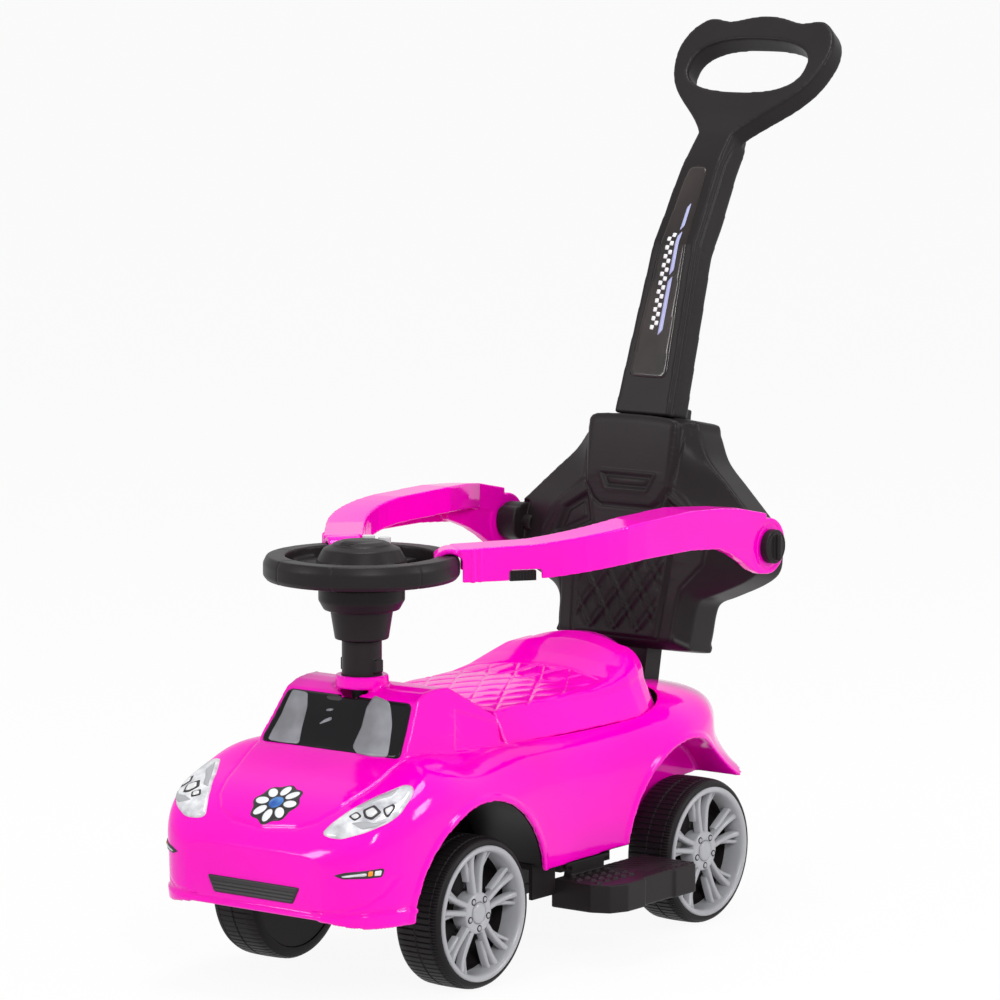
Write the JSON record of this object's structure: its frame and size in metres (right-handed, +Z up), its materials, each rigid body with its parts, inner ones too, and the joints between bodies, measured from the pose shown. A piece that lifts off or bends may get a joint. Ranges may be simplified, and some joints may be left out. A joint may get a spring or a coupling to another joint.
{
  "type": "ride-on push car with handle",
  "caption": "Ride-on toy push car with steering, storage under a lifting seat, high seat back, swing-up guard arms, slide-in footrests and a pull-out push handle.",
  "frame": {"origin": "on the ground, under the middle of the part's box", "axes": "+X forward, +Y to the rider's left, +Z up"},
  "size_m": [0.8611, 0.368, 0.8879],
  "materials": {
    "body_pink": "glossy moulded plastic",
    "black_plastic": "fine-grained moulded plastic",
    "screen_black": "glossy print with pale streaks",
    "lamp_clear": "glossy print behind a clear skin",
    "fog_amber": "glossy print",
    "grille_dark": "ribbed",
    "panel_print": "printed sheet",
    "steel": "bright",
    "button_chrome": "polished",
    "module_green": "coated board",
    "cell_wrap": "wrapped cell",
    "tyre_black": "hard ribbed plastic",
    "rim_silver": "silver paint"
  },
  "bodies": {
    "car": {"body_shell": "body_pink", "grille_panel": "grille_dark", "headlamp_left": "lamp_clear", "headlamp_right": "lamp_clear", "fog_lamp_left": "fog_amber", "fog_lamp_right": "fog_amber", "windscreen_panel": "screen_black", "front_wheel_liners": "black_plastic", "chassis": "black_plastic", "body_screws": "steel", "rear_axle": "steel", "column_sleeve": "black_plastic", "seat_hinge_pin": "steel", "storage_tub": "black_plastic", "backrest_shell": "black_plastic", "backrest_rear_cover": "black_plastic", "backrest_post": "black_plastic", "backrest_screws": "steel"},
    "steering": {"steering_rod": "steel", "steering_wheel": "black_plastic", "steering_hub_cover": "black_plastic", "steering_shroud": "black_plastic", "battery_cells": "cell_wrap", "sound_module": "module_green", "speaker": "black_plastic"},
    "tie_rod": {"tie_rod": "black_plastic"},
    "seat_lid": {"seat_lid": "body_pink"},
    "handle": {"handle": "black_plastic", "handle_panel": "panel_print"},
    "knuckle_left": {"knuckle_left": "black_plastic"},
    "knuckle_right": {"knuckle_right": "black_plastic"},
    "wheel_front_left": {"tyre_front_left": "tyre_black", "rim_front_left": "rim_silver", "hub_cap_front_left": "rim_silver"},
    "wheel_front_right": {"tyre_front_right": "tyre_black", "rim_front_right": "rim_silver", "hub_cap_front_right": "rim_silver"},
    "wheel_rear_left": {"tyre_rear_left": "tyre_black", "rim_rear_left": "rim_silver", "hub_cap_rear_left": "rim_silver"},
    "wheel_rear_right": {"tyre_rear_right": "tyre_black", "rim_rear_right": "rim_silver", "hub_cap_rear_right": "rim_silver"},
    "guard_arm_left": {"guard_arm_left": "body_pink"},
    "arm_latch_left": {"arm_latch_left": "black_plastic"},
    "arm_knob_left": {"arm_knob_left": "black_plastic"},
    "footrest_left": {"footrest_left": "black_plastic"},
    "horn_button_left": {"horn_button_left": "button_chrome"},
    "guard_arm_right": {"guard_arm_right": "body_pink"},
    "arm_latch_right": {"arm_latch_right": "black_plastic"},
    "arm_knob_right": {"arm_knob_right": "black_plastic"},
    "footrest_right": {"footrest_right": "black_plastic"},
    "horn_button_right": {"horn_button_right": "button_chrome"}
  },
  "joints": [
    {"name": "steering_turn", "type": "hinge", "parent": "car", "child": "steering", "pos_m": [0.2671, 0, 0.321], "axis": [0, 0, 1], "range_deg": [-22, 22]},
    {"name": "knuckle_left_turn", "type": "hinge", "parent": "car", "child": "knuckle_left", "pos_m": [0.2571, 0.064, 0.1], "axis": [0, 0, 1], "range_deg": [-22.5, 22.5]},
    {"name": "knuckle_right_turn", "type": "hinge", "parent": "car", "child": "knuckle_right", "pos_m": [0.2571, -0.064, 0.1], "axis": [0, 0, 1], "range_deg": [-22.5, 22.5]},
    {"name": "tie_rod_swing", "type": "hinge", "parent": "knuckle_left", "child": "tie_rod", "pos_m": [0.2231, 0.064, 0.077], "axis": [0, 0, 1], "range_deg": [-22.5, 22.5]},
    {"name": "wheel_front_left_spin", "type": "hinge", "parent": "knuckle_left", "child": "wheel_front_left", "pos_m": [0.2571, 0.111, 0.0725], "axis": [0, 1, 0], "continuous": true},
    {"name": "wheel_front_right_spin", "type": "hinge", "parent": "knuckle_right", "child": "wheel_front_right", "pos_m": [0.2571, -0.111, 0.0725], "axis": [0, 1, 0], "continuous": true},
    {"name": "wheel_rear_left_spin", "type": "hinge", "parent": "car", "child": "wheel_rear_left", "pos_m": [-0.1139, 0.111, 0.0725], "axis": [0, 1, 0], "continuous": true},
    {"name": "wheel_rear_right_spin", "type": "hinge", "parent": "car", "child": "wheel_rear_right", "pos_m": [-0.1139, -0.111, 0.0725], "axis": [0, 1, 0], "continuous": true},
    {"name": "seat_lid_lift", "type": "hinge", "parent": "car", "child": "seat_lid", "pos_m": [0.1767, 0, 0.246], "axis": [0, 1, 0], "range_deg": [0, 60]},
    {"name": "guard_arm_left_lift", "type": "hinge", "parent": "car", "child": "guard_arm_left", "pos_m": [-0.1699, 0.168, 0.375], "axis": [0, -1, 0], "range_deg": [0, 80]},
    {"name": "arm_latch_left_slide", "type": "slide", "parent": "guard_arm_left", "child": "arm_latch_left", "axis": [-0.7986, 0.6018, 0], "range_m": [0, 0.005], "stiffness_N_per_m": 200},
    {"name": "arm_knob_left_twist", "type": "hinge", "parent": "car", "child": "arm_knob_left", "pos_m": [-0.1699, 0.168, 0.375], "axis": [0, 1, 0], "range_deg": [0, 90]},
    {"name": "footrest_left_slide", "type": "slide", "parent": "car", "child": "footrest_left", "axis": [0, -1, 0], "range_m": [0, 0.06]},
    {"name": "horn_button_left_press", "type": "slide", "parent": "steering", "child": "horn_button_left", "axis": [0, 0, -1], "range_m": [0, 0.002], "stiffness_N_per_m": 400},
    {"name": "guard_arm_right_lift", "type": "hinge", "parent": "car", "child": "guard_arm_right", "pos_m": [-0.1699, -0.168, 0.375], "axis": [0, -1, 0], "range_deg": [0, 80]},
    {"name": "arm_latch_right_slide", "type": "slide", "parent": "guard_arm_right", "child": "arm_latch_right", "axis": [-0.7986, -0.6018, 0], "range_m": [0, 0.005], "stiffness_N_per_m": 200},
    {"name": "arm_knob_right_twist", "type": "hinge", "parent": "car", "child": "arm_knob_right", "pos_m": [-0.1699, -0.168, 0.375], "axis": [0, -1, 0], "range_deg": [0, 90]},
    {"name": "footrest_right_slide", "type": "slide", "parent": "car", "child": "footrest_right", "axis": [0, 1, 0], "range_m": [0, 0.06]},
    {"name": "horn_button_right_press", "type": "slide", "parent": "steering", "child": "horn_button_right", "axis": [0, 0, -1], "range_m": [0, 0.002], "stiffness_N_per_m": 400},
    {"name": "handle_pull", "type": "slide", "parent": "car", "child": "handle", "axis": [-0.1908, 0, 0.9816], "range_m": [0, 0.05]}
  ],
  "couplings": [
    {"joint": "knuckle_left_turn", "follows": "steering_turn", "ratio": 1},
    {"joint": "knuckle_right_turn", "follows": "steering_turn", "ratio": 1},
    {"joint": "tie_rod_swing", "follows": "steering_turn", "ratio": -1}
  ]
}
